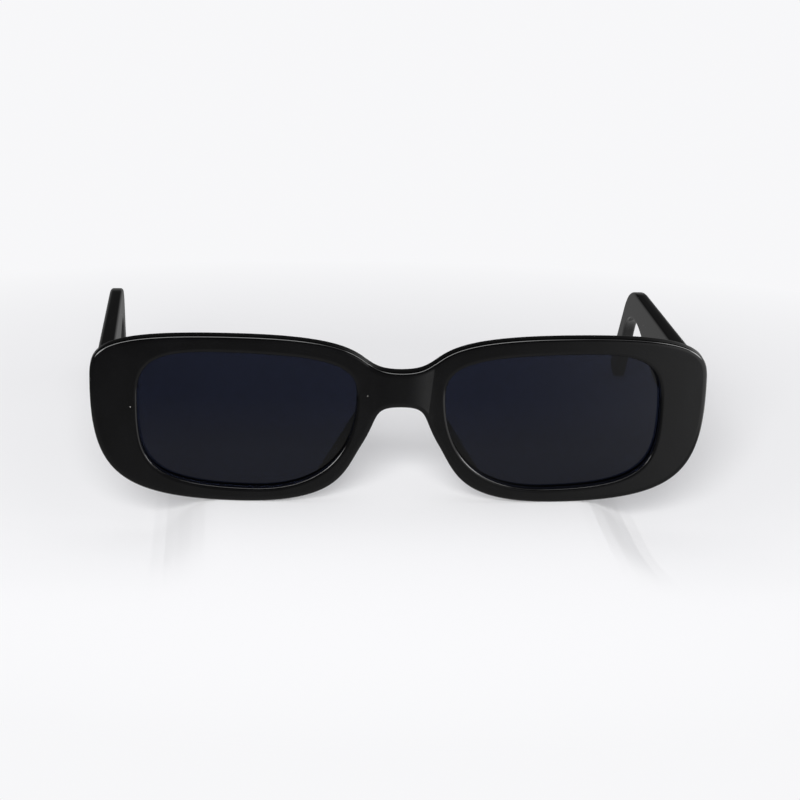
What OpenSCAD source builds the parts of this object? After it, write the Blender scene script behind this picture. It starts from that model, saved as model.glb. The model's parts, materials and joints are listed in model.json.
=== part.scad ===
// Small square sunglasses with bonded nose pads and folding temples.
// X runs across the face, +Y runs back towards the ears and +Z is up.
// Left and right are the wearer's: the left side is at +X.
// The frame stands on its rims and temple tips with both temples open.

/* [Lenses] */
// Width of each lens opening
lens_w = 50.7; // [44:0.1:56]
// Height of each lens opening
lens_h = 32.3; // [28:0.1:38]
// Narrowest gap between the two lens openings
bridge_gap = 20.4; // [17:0.1:24]
// Thickness of the lens
lens_t = 1.6; // [1.2:0.1:1.7]
// Radius of the lens surface
lens_r = 400; // [350:10:500]
// How far the lens surface lies behind the face of the rim, at the lens centre
lens_inset = 1.9; // [1.2:0.05:2]
// How far the lens edge enters its groove
groove = 0.6; // [0.3:0.1:1]

/* [Front] */
// Thickness of the front
front_t = 4.5; // [4.4:0.1:5.5]
// Radius of the curve of the front, seen from above
face_r = 420; // [300:10:600]
// Width of the rim above the lens
rim_top = 3.9; // [2.5:0.1:6]
// Width of the rim below the lens
rim_bottom = 3.3; // [2:0.1:5]
// Width of the rim at the side, out to the hinge corner
rim_side = 11; // [9:0.1:14]
// Height of the widest point above the middle of the lens
side_z = 9.4; // [4:0.1:12]

/* [Bridge] */
// Height of the bridge
bridge_h = 8.3; // [6:0.1:10]
// Top of the bridge above the middle of the lens
bridge_top = 12.2; // [9:0.1:14]
// How far the flank of the nose stands inside the lens opening's edge
flank_in = 1.3; // [0.5:0.1:2.5]
// Depth of the flank's middle below the middle of the lens
flank_drop = 5.3; // [3:0.1:8]
// How far the rounded middle of the bridge stands proud
bridge_proud = 0.55; // [0.2:0.05:1]
// Radius of that rounded middle
bridge_r = 45; // [30:1:80]

/* [Nose pads] */
// How far the pads stand out behind the front
pad_depth = 5; // [3:0.1:5.5]
// How far the pads splay outwards at the back
pad_splay = 3.2; // [2:0.1:4.5]
// Radius of the pads' rounded back edge
pad_r = 1.1; // [0.7:0.1:1.5]

/* [Temples] */
// Length of the temple from the front to the tip
temple_len = 135.6; // [125:0.2:145]
// Thickness of the temple at the hinge
temple_t = 4; // [3.6:0.1:4.2]
// Thickness of the temple at the tip
tip_t = 3; // [2.8:0.1:3.6]
// Height of the temple at the hinge
temple_h = 17.9; // [13:0.1:19]
// Top of the temple above the middle of the lens, at the hinge
temple_top = 13.5; // [11:0.1:14]
// Downward slope of the temple in degrees
temple_slope = 4.1; // [0:0.1:8]
// Length of the tall part next to the hinge
paddle_len = 48; // [35:1:60]
// How far the tall part's lower edge swells downwards at its far end
paddle_swell = 0.8; // [0.2:0.1:1.5]
// Height of the slim part
shaft_h = 7.6; // [5.5:0.1:9]
// How far the temple stands inside the side of the front
temple_inset = 1.5; // [0.5:0.1:2]
// Bevel on the outer edge of the temple where it meets the front
butt_bevel = 0.6; // [0.5:0.1:1]

/* [Ear pieces] */
// How far the ear piece's straight part ends below the top of the temple
ear_drop = 34.8; // [26:0.2:39]
// How far that end stops short of the tip
ear_back = 8.2; // [7:0.1:10]
// Length of the ear piece below its bend
ear_len = 23.2; // [16:0.2:30]
// Angle of the ear piece below the horizontal
ear_angle = 42.8; // [30:0.1:55]
// Height of the ear piece at its bend
ear_h = 5.4; // [5:0.1:8]
// Height of the ear piece at its tip
tip_h = 7.6; // [6:0.1:9]

/* [Hinges] */
// Height of the hinge barrel
hinge_h = 6; // [4:0.5:8]
// Radius of the hinge barrel
barrel_r = 1.4; // [1.1:0.1:1.45]
// Radius of the hinge screw
screw_r = 0.6; // [0.4:0.05:0.8]
// Distance of the hinge axis from the temple's inner face and from the front
axis_out = 1.9; // [1.8:0.1:2.2]
// Thickness of the hinge leaves
leaf_t = 1; // [0.6:0.1:1.3]
// Length of the temple's hinge leaf
leaf_len = 9; // [6:0.5:12]
// Height of the front's hinge leaf
front_leaf_h = 9; // [8:0.5:12]
// Number of knuckles in the barrel
knuckles = 5; // [3:2:7]

/* [Core wires] */
// Width of the flat steel core in each temple
core_w = 2.2; // [1.5:0.1:3]
// Thickness of the flat steel core
core_t = 1.2; // [0.8:0.1:1.4]

/* [Hidden] */

// Clearances: a lens in its groove, inlaid metal, glued faces, the open joint
// at the temple's end, a turning barrel, its knuckles end to end, and the wall
// between a hinge leaf and the lens groove
lens_gap = 0.1;
inlay_gap = 0.05;
glue_gap = 0.02;
butt_gap = 0.05;
bore_gap = 0.05;
knuckle_gap = 0.06;
leaf_wall = 0.5;
// Height of a screw head, and a cut that runs past what it cuts
head_h = 0.6;
past = 1;
// The two edges of a nose pad's foot, in from the flank of the nose
foot_in = 0.4;
foot_out = 3.4;
curve_steps = 16;
far = 400;
$fn = 48;

left = 1;
right = -1;

// Where the lens opening touches each side of its box, in half widths or heights,
// and how square each corner is on either side of it
opening_top = 0.25;
opening_side = 0.30;
opening_bottom = -0.06;
opening_nose = 0.40;
top_side_corner = [0.80, 0.72];
side_bottom_corner = [0.75, 0.93];
bottom_nose_corner = [0.77, 0.51];
nose_top_corner = [0.75, 0.81];

// The same for the outline of the front, with the offset of its top and bottom
front_top_side_corner = [0.94, 0.59];
front_side_bottom_corner = [0.80, 0.83];
front_peak = 2;
flank_angle = 59;

lens_x = bridge_gap / 2 + lens_w / 2;
half_front = bridge_gap / 2 + lens_w + rim_side;
front_top = lens_h / 2 + rim_top;
front_bottom = lens_h / 2 + rim_bottom;
back_r = face_r - front_t;
bridge_bottom = bridge_top - bridge_h;
flank = [bridge_gap / 2 - flank_in, -flank_drop];
flank_dir = [-cos(flank_angle), sin(flank_angle)];

temple_out = half_front - temple_inset;
temple_in = temple_out - temple_t;
butt_y = face_r - sqrt(pow(back_r, 2) - pow(temple_in, 2));
axis_x = temple_in - axis_out;
axis_y = butt_y + axis_out;
hinge_z = temple_top - temple_h / 2;
web_w = 1.5 * barrel_r;

// Points of a cubic curve, without its last one
function curve(a, b, c, d) = [
    for (i = [0 : curve_steps - 1])
        let (t = i / curve_steps, u = 1 - t)
            u * u * u * a + 3 * u * u * t * b + 3 * u * t * t * c + t * t * t * d
];

// A corner between two points whose tangents meet at a sharp corner
function corner(a, sharp, d, square = [0.6, 0.6]) =
    curve(a, a + square[0] * (sharp - a), d + square[1] * (sharp - d), d);

function mirrored(points) = [for (i = [len(points) - 1 : -1 : 0]) [-points[i].x, points[i].y]];

// Moves each point of a closed clockwise outline outwards
function grown(points, by) = [
    for (i = [0 : len(points) - 1])
        let (
            before = points[(i + len(points) - 1) % len(points)],
            after = points[(i + 1) % len(points)],
            run = after - before
        )
            points[i] + by * [-run.y, run.x] / norm(run)
];

// The lens opening about its own centre, clockwise from the top, outer side at +X
function opening() =
    let (
        w = lens_w / 2,
        h = lens_h / 2,
        top = [opening_top * w, h],
        side = [w, opening_side * h],
        bottom = [opening_bottom * w, -h],
        nose = [-w, opening_nose * h]
    )
        concat(
            corner(top, [w, h], side, top_side_corner),
            corner(side, [w, -h], bottom, side_bottom_corner),
            corner(bottom, [-w, -h], nose, bottom_nose_corner),
            corner(nose, [-w, h], top, nose_top_corner)
        );

// The flank of the nose, from the bottom of the rim up to the bridge
function lower_flank() =
    let (bottom = [lens_x + front_peak, -front_bottom])
        curve(bottom, bottom - [lens_w * 0.47, 0], flank - 8 * flank_dir, flank);
function upper_flank() =
    curve(flank, flank + 7.8 * flank_dir, [6.8, bridge_bottom], [0, bridge_bottom]);

// Left half of the front's outline, clockwise from the bridge
function half_outline() =
    let (
        bridge = [0, bridge_top],
        top = [lens_x + front_peak, front_top],
        side = [half_front, side_z],
        bottom = [lens_x + front_peak, -front_bottom]
    )
        concat(
            curve(bridge, bridge + [12.5, 0], [2.4, front_top], top),
            corner(top, [half_front, front_top], side, front_top_side_corner),
            corner(side, [half_front, -front_bottom], bottom, front_side_bottom_corner),
            lower_flank(),
            upper_flank()
        );

// The temple's outline as [distance behind the front, height]
ear_dir = [cos(ear_angle), -sin(ear_angle)];
ear_up = [sin(ear_angle), cos(ear_angle)];
ear_end = [temple_len - ear_back, temple_top - ear_drop];
ear_start = ear_end - ear_len * ear_dir;
function on_ear(along, up) = ear_end + along * ear_dir + up * ear_up;
function temple_outline() =
    let (
        slope = [cos(temple_slope), -sin(temple_slope)],
        rise = tan(temple_slope),
        bend = [ear_start.x - 24, temple_top - (ear_start.x - 24) * rise],
        shaft = [ear_start.x - 28, temple_top - (ear_start.x - 28) * rise - shaft_h],
        lower_edge = temple_top - temple_h,
        swell = [paddle_len, lower_edge - paddle_swell],
        paddle = [paddle_len - 26, lower_edge],
        upper = ear_start + ear_up * ear_h / 2,
        lower = ear_start - ear_up * ear_h / 2,
        half_tip = tip_h / 2
    )
        concat(
            [[-front_t, temple_top + front_t * rise]],
            curve(bend, bend + 13 * slope, upper - 9 * ear_dir, upper),
            corner(on_ear(5.7, half_tip), on_ear(8.2, half_tip), on_ear(7.1, half_tip / 2)),
            corner(on_ear(4.9, -half_tip / 2), on_ear(3.6, -half_tip), on_ear(0.6, -half_tip)),
            curve(lower, lower - 7 * ear_dir, shaft + [13, 0], shaft),
            curve(shaft, shaft - [12, 0.4], swell + [7, 0], swell),
            curve(swell, swell - [7, 0], paddle + [12, 0], paddle),
            [[-front_t, lower_edge]]
        );

// The centre line of the core wire in the temple
function core_line() =
    let (
        start = [leaf_len + 4, hinge_z],
        bend = [ear_start.x - 20, temple_top - ear_start.x * tan(temple_slope) - shaft_h / 2]
    )
        concat(
            curve(start, start + [30, 0], bend - [22, 0], bend),
            curve(bend, bend + [12, -0.4], ear_start - 5 * ear_dir, ear_start),
            [ear_end - 3 * ear_dir]
        );
function ribbon(line, wide) =
    let (last = len(line) - 1)
        concat(
            [for (i = [0 : last]) line[i] + wide / 2 * across(line, i, last)],
            [for (i = [last : -1 : 0]) line[i] - wide / 2 * across(line, i, last)]
        );
function across(line, i, last) =
    let (run = line[min(i + 1, last)] - line[max(i - 1, 0)])
        [-run.y, run.x] / norm(run);

// How the open frame stands: it leans until the rims and the tips are both down
outline_low = min([for (p = temple_outline()) p.y]);
tip_low = [for (p = temple_outline()) if (p.y == outline_low) p][0];
tip_back = max([for (p = temple_outline()) p.x]);
rim_low_y = face_r - sqrt(pow(face_r, 2) - pow(lens_x + front_peak, 2));
lean = atan((-front_bottom - tip_low.y) / (butt_y + tip_low.x - rim_low_y));
lift = front_bottom * cos(lean) - rim_low_y * sin(lean);
tip_end = [for (p = temple_outline()) if (p.x == tip_back) p][0];
back_end = (butt_y + tip_end.x) * cos(lean) - tip_end.y * sin(lean);
front_end = -bridge_proud * cos(lean) - bridge_top * sin(lean);
middle_y = (back_end + front_end) / 2;

module stand() {
    translate([0, -middle_y, lift]) rotate([lean, 0, 0]) children();
}

// Puts a part that is drawn on the left onto either side, standing
module on_side(side) {
    stand() {
        if (side == left) children();
        else mirror([1, 0, 0]) children();
    }
}

// A flat shape of [across, up], run from one depth to another
module slab(points, from, to) {
    translate([0, to, 0]) rotate([90, 0, 0]) linear_extrude(to - from) polygon(points);
}

// A flat shape of [back, up], run from one distance off the middle to another
module side_slab(points, from, to) {
    translate([from, butt_y, 0]) rotate([90, 0, 90]) linear_extrude(to - from) polygon(points);
}

// Everything inside the curve of the front at this radius, which is all behind it
module behind(r) {
    translate([0, face_r, -far / 2]) cylinder(r = r, h = far, $fn = 720);
}

// A spherical layer of the lens, from one radius to a smaller one
module lens_layer(outer, inner) {
    turn = asin(lens_x / face_r);
    rotate_about_face = [face_r * sin(turn), face_r - face_r * cos(turn), 0];
    translate(rotate_about_face) rotate([0, 0, turn]) translate([0, lens_inset + lens_r, 0])
        difference() {
            sphere(r = outer, $fn = 360);
            sphere(r = inner, $fn = 360);
        }
}

module lens_shape(by, slack) {
    intersection() {
        translate([lens_x, 0, 0]) slab(grown(opening(), by), -front_t, 4 * front_t);
        lens_layer(lens_r + slack, lens_r - lens_t - slack);
    }
}

// The plate of the front before its openings are cut
module front_plate() {
    half = half_outline();
    intersection() {
        slab(concat(half, [[0, bridge_bottom]], mirrored(half)), -front_t, 5 * front_t);
        union() {
            behind(face_r);
            translate([0, bridge_r - bridge_proud, -far / 2])
                cylinder(r = bridge_r, h = far, $fn = 180);
        }
    }
}

module lens_cuts() {
    translate([lens_x, 0, 0]) slab(opening(), -front_t, 5 * front_t);
    lens_shape(groove + lens_gap, lens_gap);
}

module front() {
    color("#161618") stand() difference() {
        front_plate();
        behind(back_r);
        lens_cuts();
        mirror([1, 0, 0]) lens_cuts();
        front_leaf_plate(inlay_gap);
        mirror([1, 0, 0]) front_leaf_plate(inlay_gap);
    }
}

module lens(side) {
    color("#33343e", 0.6) on_side(side) lens_shape(groove, 0);
}

module nose_pad(side) {
    toe = lower_flank()[8];
    sole = lower_flank()[11];
    heel = upper_flank()[5];
    back_y = front_t + pad_depth - pad_r;
    color("#1a1a1c") on_side(side) intersection() {
        behind(back_r - glue_gap);
        hull() {
            slab([for (p = [toe, sole, flank, heel]) p + [foot_in, 0]], front_t - past, front_t + foot_in);
            slab([for (p = [sole, flank, heel]) p + [foot_out, 0]], front_t - past, front_t + foot_in);
            for (p = [sole, flank, heel])
                translate([p.x + pad_splay, back_y, p.y]) sphere(r = pad_r, $fn = 32);
            translate([toe.x + pad_splay, front_t + pad_r, toe.y]) sphere(r = pad_r, $fn = 32);
        }
    }
}

// Fills what lies inboard of the temple's inner face, which tapers to the tip
module inside_of_temple() {
    slope = (temple_t - tip_t) / temple_len;
    reach = temple_len + 2 * front_t;
    translate([0, butt_y, -far / 2]) linear_extrude(far) polygon([
        [0, -front_t],
        [temple_in - slope * front_t, -front_t],
        [temple_in + slope * reach, reach],
        [0, reach]
    ]);
}

// The bevel on the temple's outer edge at the front
module butt_edge() {
    butt_out = face_r - sqrt(pow(back_r, 2) - pow(temple_out, 2)) + butt_gap;
    translate([temple_out - butt_bevel, butt_out, -far / 2]) linear_extrude(far) polygon([
        [0, -past],
        [butt_bevel + past, -past],
        [butt_bevel + past, butt_bevel + past],
        [0, 0]
    ]);
}

module core_strip(gap) {
    middle = temple_out - tip_t / 2 - inlay_gap;
    side_slab(ribbon(core_line(), core_w + 2 * gap),
        middle - core_t / 2 - gap, middle + core_t / 2 + gap);
}

module temple(side) {
    color("#161618") on_side(side) difference() {
        intersection() {
            side_slab(temple_outline(), temple_in - past, temple_out);
            behind(back_r - butt_gap);
        }
        inside_of_temple();
        butt_edge();
        temple_leaf_plate(inlay_gap);
        core_strip(inlay_gap);
    }
}

module core_wire(side) {
    color("#b9bcc2") on_side(side) core_strip(0);
}

// The leaf inlaid in the back of the front, with its flat face at the surface
module front_leaf_plate(gap) {
    turn = asin(axis_x / back_r);
    at = [back_r * sin(turn), face_r - back_r * cos(turn), hinge_z];
    inward = axis_x - (half_front - rim_side + groove + lens_gap + leaf_wall);
    translate(at) rotate([0, 0, turn])
        translate([-inward - gap, -leaf_t - gap, -front_leaf_h / 2 - gap])
            cube([inward + barrel_r + 2 * gap, leaf_t + gap, front_leaf_h + 2 * gap]);
}

// The leaf inlaid in the temple's inner face
module temple_leaf_plate(gap) {
    translate([temple_in, axis_y - web_w / 2 - gap, hinge_z - hinge_h / 2 - gap])
        cube([leaf_t + gap, leaf_len + 2 * gap, hinge_h + 2 * gap]);
}

// Half of the knuckles, with the webs that join them to a leaf
module knuckle_row(first, web_angle, web_len) {
    pitch = hinge_h / knuckles;
    for (i = [first : 2 : knuckles - 1])
        translate([axis_x, axis_y, hinge_z - hinge_h / 2 + i * pitch + knuckle_gap / 2])
            difference() {
                union() {
                    cylinder(r = barrel_r, h = pitch - knuckle_gap);
                    rotate([0, 0, web_angle]) translate([0, -web_w / 2, 0])
                        cube([web_len, web_w, pitch - knuckle_gap]);
                }
                translate([0, 0, -past])
                    cylinder(r = screw_r + bore_gap, h = pitch + 2 * past);
            }
}

module front_hinge_leaf(side) {
    turn = asin(axis_x / back_r);
    color("#9a9ca2") on_side(side) union() {
        front_leaf_plate(0);
        knuckle_row(0, turn - 90, axis_out + leaf_t / 2);
    }
}

module temple_hinge_leaf(side) {
    color("#9a9ca2") on_side(side) union() {
        temple_leaf_plate(0);
        knuckle_row(1, 0, axis_out + leaf_t / 2);
    }
}

module hinge_screw(side) {
    head_r = barrel_r * 0.8;
    slot = 0.3;
    color("#c4c6cb") on_side(side) translate([axis_x, axis_y, hinge_z - hinge_h / 2])
        difference() {
            union() {
                cylinder(r = screw_r, h = hinge_h);
                translate([0, 0, hinge_h]) cylinder(r = head_r, h = head_h);
            }
            translate([-head_r, -slot / 2, hinge_h + head_h / 2])
                cube([2 * head_r, slot, head_h]);
        }
}

front();
lens(left);  // lens_left
lens(right);  // lens_right
nose_pad(left);  // nose_pad_left
nose_pad(right);  // nose_pad_right
temple(left);  // temple_left
temple(right);  // temple_right
core_wire(left);  // core_wire_left
core_wire(right);  // core_wire_right
front_hinge_leaf(left);  // front_hinge_leaf_left
front_hinge_leaf(right);  // front_hinge_leaf_right
temple_hinge_leaf(left);  // temple_hinge_leaf_left
temple_hinge_leaf(right);  // temple_hinge_leaf_right
hinge_screw(left);  // hinge_screw_left
hinge_screw(right);  // hinge_screw_right
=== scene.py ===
"""Small square sunglasses, dressed around their packed model.

Sizes are in millimetres unless a name says otherwise. The worn frame has its
origin between the lenses: X to the wearer's left, Y back, Z up. The finished
pieces stand as the model does, leaning until rims and temple tips are down.
"""

import json
import math

import bmesh
import bpy
from bpy.props import FloatProperty, FloatVectorProperty, IntProperty, PointerProperty
from mathutils import Matrix, Vector
from mathutils.geometry import delaunay_2d_cdt


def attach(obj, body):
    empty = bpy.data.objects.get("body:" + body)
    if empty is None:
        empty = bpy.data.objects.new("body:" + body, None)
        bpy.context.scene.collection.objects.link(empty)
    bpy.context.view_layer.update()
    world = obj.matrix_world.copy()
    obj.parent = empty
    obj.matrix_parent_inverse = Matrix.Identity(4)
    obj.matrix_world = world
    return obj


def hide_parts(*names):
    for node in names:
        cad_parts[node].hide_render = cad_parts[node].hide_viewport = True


bl_info = {
    "name": "Small square sunglasses",
    "version": (1, 0, 0),
    "blender": (4, 5, 0),
    "location": "3D View > Sidebar > Sunglasses",
    "description": "Dresses the model of a pair of small square sunglasses",
    "category": "Object",
}

MM = 0.001
LEFT = 1
RIGHT = -1
SIDES = {"left": LEFT, "right": RIGHT}
# Points closer than this are one, in millimetres
SAME_PLACE = 0.001
SHARP_EDGE = math.radians(35)

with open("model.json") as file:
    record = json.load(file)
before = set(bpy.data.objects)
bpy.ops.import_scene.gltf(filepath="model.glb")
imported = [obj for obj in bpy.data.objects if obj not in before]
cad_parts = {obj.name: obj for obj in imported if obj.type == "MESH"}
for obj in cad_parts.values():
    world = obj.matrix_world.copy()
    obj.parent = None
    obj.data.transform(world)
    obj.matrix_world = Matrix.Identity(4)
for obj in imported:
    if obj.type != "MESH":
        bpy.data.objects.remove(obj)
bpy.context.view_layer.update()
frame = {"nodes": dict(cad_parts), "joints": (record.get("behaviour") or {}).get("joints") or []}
HINGES = {joint["name"]: joint for joint in frame["joints"]}


# Sizes and colours


def size(name, default, description):
    """A length in millimetres."""
    return FloatProperty(name=name, default=default, description=description, min=0.0)


def angle(name, degrees, description):
    """An angle, written in degrees and kept in radians."""
    return FloatProperty(name=name, default=math.radians(degrees), description=description, subtype="ANGLE")


def level(name, default, description):
    """A value between 0 and 1."""
    return FloatProperty(
        name=name, default=default, description=description, min=0.0, max=1.0, subtype="FACTOR"
    )


def colour(name, default, description):
    """A colour in linear values."""
    return FloatVectorProperty(
        name=name, default=default, description=description, size=3, subtype="COLOR", min=0.0, max=1.0
    )


class LensSizes(bpy.types.PropertyGroup):
    """Sizes of the lenses and their openings."""

    width: size("Width", 50.7, "Width of each lens opening")
    height: size("Height", 32.3, "Height of each lens opening")
    gap: size("Gap", 20.4, "Narrowest gap between the two openings")
    thickness: size("Thickness", 1.6, "Thickness of the lens")
    radius: size("Radius", 400.0, "Radius of the lens surface")
    inset: size("Inset", 1.9, "Depth of the lens behind the rim's face")
    groove: size("Groove", 0.6, "How far the lens enters its groove")
    clearance: size("Clearance", 0.1, "Play between lens and groove")
    edge: size("Edge", 0.15, "Rounding of the lens edge")


class FrontSizes(bpy.types.PropertyGroup):
    """Sizes of the front and its bridge."""

    thickness: size("Thickness", 4.5, "Thickness of the front")
    radius: size("Radius", 420.0, "Radius of the face, seen from above")
    rim_top: size("Rim top", 3.9, "Width of the rim above the lens")
    rim_bottom: size("Rim bottom", 3.3, "Width of the rim below the lens")
    rim_side: size("Rim side", 11.0, "Width of the rim at the side")
    side_z: size("Side height", 9.4, "Height of the widest point")
    bridge_height: size("Bridge height", 8.3, "Height of the bridge")
    bridge_top: size("Bridge top", 12.2, "Top of the bridge")
    bridge_proud: size("Bridge proud", 0.55, "How far the bridge stands proud")
    bridge_radius: size("Bridge radius", 45.0, "Radius of the rounded bridge")
    flank_in: size("Flank", 1.3, "How far the flank stands inside the opening's edge")
    flank_drop: size("Flank drop", 5.3, "Depth of the flank's middle")
    face_round: size("Face rounding", 1.0, "Rounding of the outer edge at the face")
    back_round: size("Back rounding", 1.0, "Rounding of the outer edge at the back")
    rim_round: size("Rim rounding", 0.65, "Rounding of the lens opening's edge at the face")
    rim_back_round: size("Rim back rounding", 0.3, "Rounding of that edge at the back")


class TempleSizes(bpy.types.PropertyGroup):
    """Sizes of the temples."""

    length: size("Length", 135.6, "Length from the front to the tip")
    thickness: size("Thickness", 4.0, "Thickness at the hinge")
    tip_thickness: size("Tip thickness", 3.0, "Thickness at the tip")
    height: size("Height", 17.9, "Height at the hinge")
    top: size("Top", 13.5, "Top of the temple at the hinge")
    slope: angle("Slope", 4.1, "Downward slope of the temple")
    paddle: size("Tall part", 48.0, "Length of the tall part")
    swell: size("Swell", 0.8, "How far the tall part's lower edge swells at its far end")
    shaft: size("Slim part", 7.6, "Height of the slim part")
    inset: size("Inset", 1.5, "How far the temple stands inside the front's side")
    ear_length: size("Ear piece", 23.2, "Length of the ear piece below its bend")
    ear_angle: angle("Ear angle", 42.8, "Angle of the ear piece below the level")
    ear_height: size("Ear height", 5.4, "Height of the ear piece at its bend")
    ear_drop: size("Ear drop", 34.8, "Drop of the ear piece's straight end")
    ear_back: size("Ear back", 8.2, "How far that end stops short of the tip")
    tip_height: size("Tip height", 7.6, "Height of the ear piece at its tip")
    butt_gap: size("Butt gap", 0.05, "Joint between the temple's end and the front")
    outer_round: size("Outer rounding", 0.9, "Rounding of the outer edges")
    inner_round: size("Inner rounding", 0.7, "Rounding of the inner edges")
    core_width: size("Core width", 2.2, "Width of the core wire")
    core_thickness: size("Core thickness", 1.2, "Thickness of the core wire")
    core_round: size("Core rounding", 0.2, "Rounding of the core wire's edges")


class HingeSizes(bpy.types.PropertyGroup):
    """Sizes of the hinges."""

    height: size("Height", 6.0, "Height of the barrel")
    barrel: size("Barrel", 1.4, "Radius of the barrel")
    screw: size("Screw", 0.6, "Radius of the screw")
    axis_out: size("Axis out", 1.9, "Distance of the axis from temple and front")
    leaf: size("Leaf", 1.0, "Thickness of the leaves")
    leaf_length: size("Leaf length", 9.0, "Length of the temple's leaf")
    front_leaf_height: size("Front leaf", 9.0, "Height of the front's leaf")
    knuckles: IntProperty(name="Knuckles", default=5, min=3, description="Number of knuckles")
    knuckle_gap: size("Knuckle gap", 0.06, "Gap between two knuckles")
    bore_gap: size("Bore gap", 0.05, "Gap round the screw")
    toe: size("Toe", 0.8, "Radius of a knuckle's toe in its leaf")
    web: size("Web", 2.1, "Width of the temple leaf in front of the axis, doubled")
    leaf_wall: size("Leaf wall", 0.5, "Wall between leaf and lens groove")
    proud: size("Proud", 0.06, "How far the leaves stand out of the acetate")
    edge: size("Edge", 0.1, "Rounding of the metal's edges")


class SurfaceLooks(bpy.types.PropertyGroup):
    """Colours and gloss of the surfaces."""

    acetate: colour("Acetate", (0.0006, 0.0006, 0.0007), "Colour of the black acetate")
    acetate_rough: level("Acetate roughness", 0.02, "Roughness of the polished acetate")
    tint: colour("Lens tint", (0.0078, 0.0102, 0.0225), "What the lens lets through")
    dust: colour("Dust", (0.42, 0.41, 0.39), "Colour of the dust specks")
    steel: colour("Steel", (0.55, 0.55, 0.57), "Colour of the hinge metal")


class StageSizes(bpy.types.PropertyGroup):
    """Camera, lights and floor."""

    distance: size("Distance", 700.0, "Distance of the camera from the face")
    yaw: angle("Yaw", -3.6, "Turn of the camera round the object")
    pitch: angle("Pitch", 15.73, "Angle from which the camera looks down")
    roll: angle("Roll", -1.317, "Roll of the camera")
    aim_height: size("Aim height", 7.03, "Height of the point that the camera aims at")
    picture: size("Picture width", 184.24, "Width of the picture at the face")
    pale: level("Pale", 0.932, "Level of floor and backdrop")
    dip: size("Dip", 7.5, "Depth of the floor's dip, which takes the folded temples' tips")


GROUPS = {
    "glasses_lens": LensSizes,
    "glasses_front": FrontSizes,
    "glasses_temple": TempleSizes,
    "glasses_hinge": HingeSizes,
    "glasses_looks": SurfaceLooks,
    "glasses_stage": StageSizes,
}


def sizes(name):
    """The settings of one group, kept on the scene."""
    return getattr(bpy.context.scene, "glasses_" + name)


# Outlines of the front and the temples

# Where the lens opening touches each side of its box, in half widths and heights,
# and how square each of its corners is
OPENING_TOUCH = {"top": 0.25, "side": 0.30, "bottom": -0.06, "nose": 0.40}
OPENING_CORNERS = ((0.80, 0.72), (0.75, 0.93), (0.77, 0.51), (0.75, 0.81))
FRONT_CORNERS = ((0.94, 0.59), (0.80, 0.83))
# How far outside a lens's middle the front is tallest
FRONT_PEAK = 2.0
FLANK_ANGLE = math.radians(59)
# Start, sharp point and end of the tip's corners, past the ear piece's straight end
TIP_UPPER_CORNER = (5.7, 8.2, 7.1)
TIP_LOWER_CORNER = (4.9, 3.6, 0.6)
CURVE_STEPS = 60


def curve(a, b, c, d):
    """Points of a cubic curve from a to d, without d. Its handles end at b and c."""
    points = []
    for step in range(CURVE_STEPS):
        t = step / CURVE_STEPS
        u = 1 - t
        points.append(u**3 * a + 3 * u * u * t * b + 3 * u * t * t * c + t**3 * d)
    return points


def corner(a, sharp, d, square=(0.6, 0.6)):
    """A rounded corner between two points whose tangents meet at a sharp one."""
    return curve(a, a + square[0] * (sharp - a), d + square[1] * (sharp - d), d)


def even(points, step):
    """A closed outline with its points spread evenly, about one step apart."""
    closed = points + [points[0]]
    lengths = [(b - a).length for a, b in zip(closed, closed[1:])]
    total = sum(lengths)
    count = max(8, round(total / step))
    spread = []
    index = 0
    walked = 0.0
    for number in range(count):
        target = total * number / count
        while walked + lengths[index] < target:
            walked += lengths[index]
            index += 1
        share = (target - walked) / max(lengths[index], 1e-9)
        spread.append(closed[index].lerp(closed[index + 1], share))
    return spread


def outward(points):
    """The outward normal at each point of a closed clockwise outline."""
    normals = []
    for i in range(len(points)):
        run = points[(i + 1) % len(points)] - points[i - 1]
        normals.append(Vector((-run.y, run.x)).normalized())
    return normals


def shifted(points, normals, by):
    """An outline moved along its normals, with stretches that turn back drawn together."""
    moved = [p + by * n for p, n in zip(points, normals)]
    count = len(points)
    for _ in range(12):
        folded = False
        for i in range(count):
            k = (i + 1) % count
            if (moved[k] - moved[i]).dot(points[k] - points[i]) < 0:
                middle = (moved[k] + moved[i]) / 2
                moved[i] = middle
                moved[k] = middle.copy()
                folded = True
        if not folded:
            break
    return moved


def opening_outline(step=0.6):
    """The left lens opening, clockwise from its top, in the worn frame."""
    lens = sizes("lens")
    w = lens.width / 2
    h = lens.height / 2
    top = Vector((OPENING_TOUCH["top"] * w, h))
    side = Vector((w, OPENING_TOUCH["side"] * h))
    bottom = Vector((OPENING_TOUCH["bottom"] * w, -h))
    nose = Vector((-w, OPENING_TOUCH["nose"] * h))
    points = corner(top, Vector((w, h)), side, OPENING_CORNERS[0])
    points += corner(side, Vector((w, -h)), bottom, OPENING_CORNERS[1])
    points += corner(bottom, Vector((-w, -h)), nose, OPENING_CORNERS[2])
    points += corner(nose, Vector((-w, h)), top, OPENING_CORNERS[3])
    centre = Vector((lens_x(), 0))
    return even([point + centre for point in points], step)


def lens_x():
    """Distance of a lens's middle from the middle of the face."""
    lens = sizes("lens")
    return lens.gap / 2 + lens.width / 2


def half_front():
    """Half the width of the front."""
    return lens_x() + sizes("lens").width / 2 + sizes("front").rim_side


def flank():
    """The flank beside the nose, as its middle point and its direction upwards."""
    front = sizes("front")
    middle = Vector((sizes("lens").gap / 2 - front.flank_in, -front.flank_drop))
    return middle, Vector((-math.cos(FLANK_ANGLE), math.sin(FLANK_ANGLE)))


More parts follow.
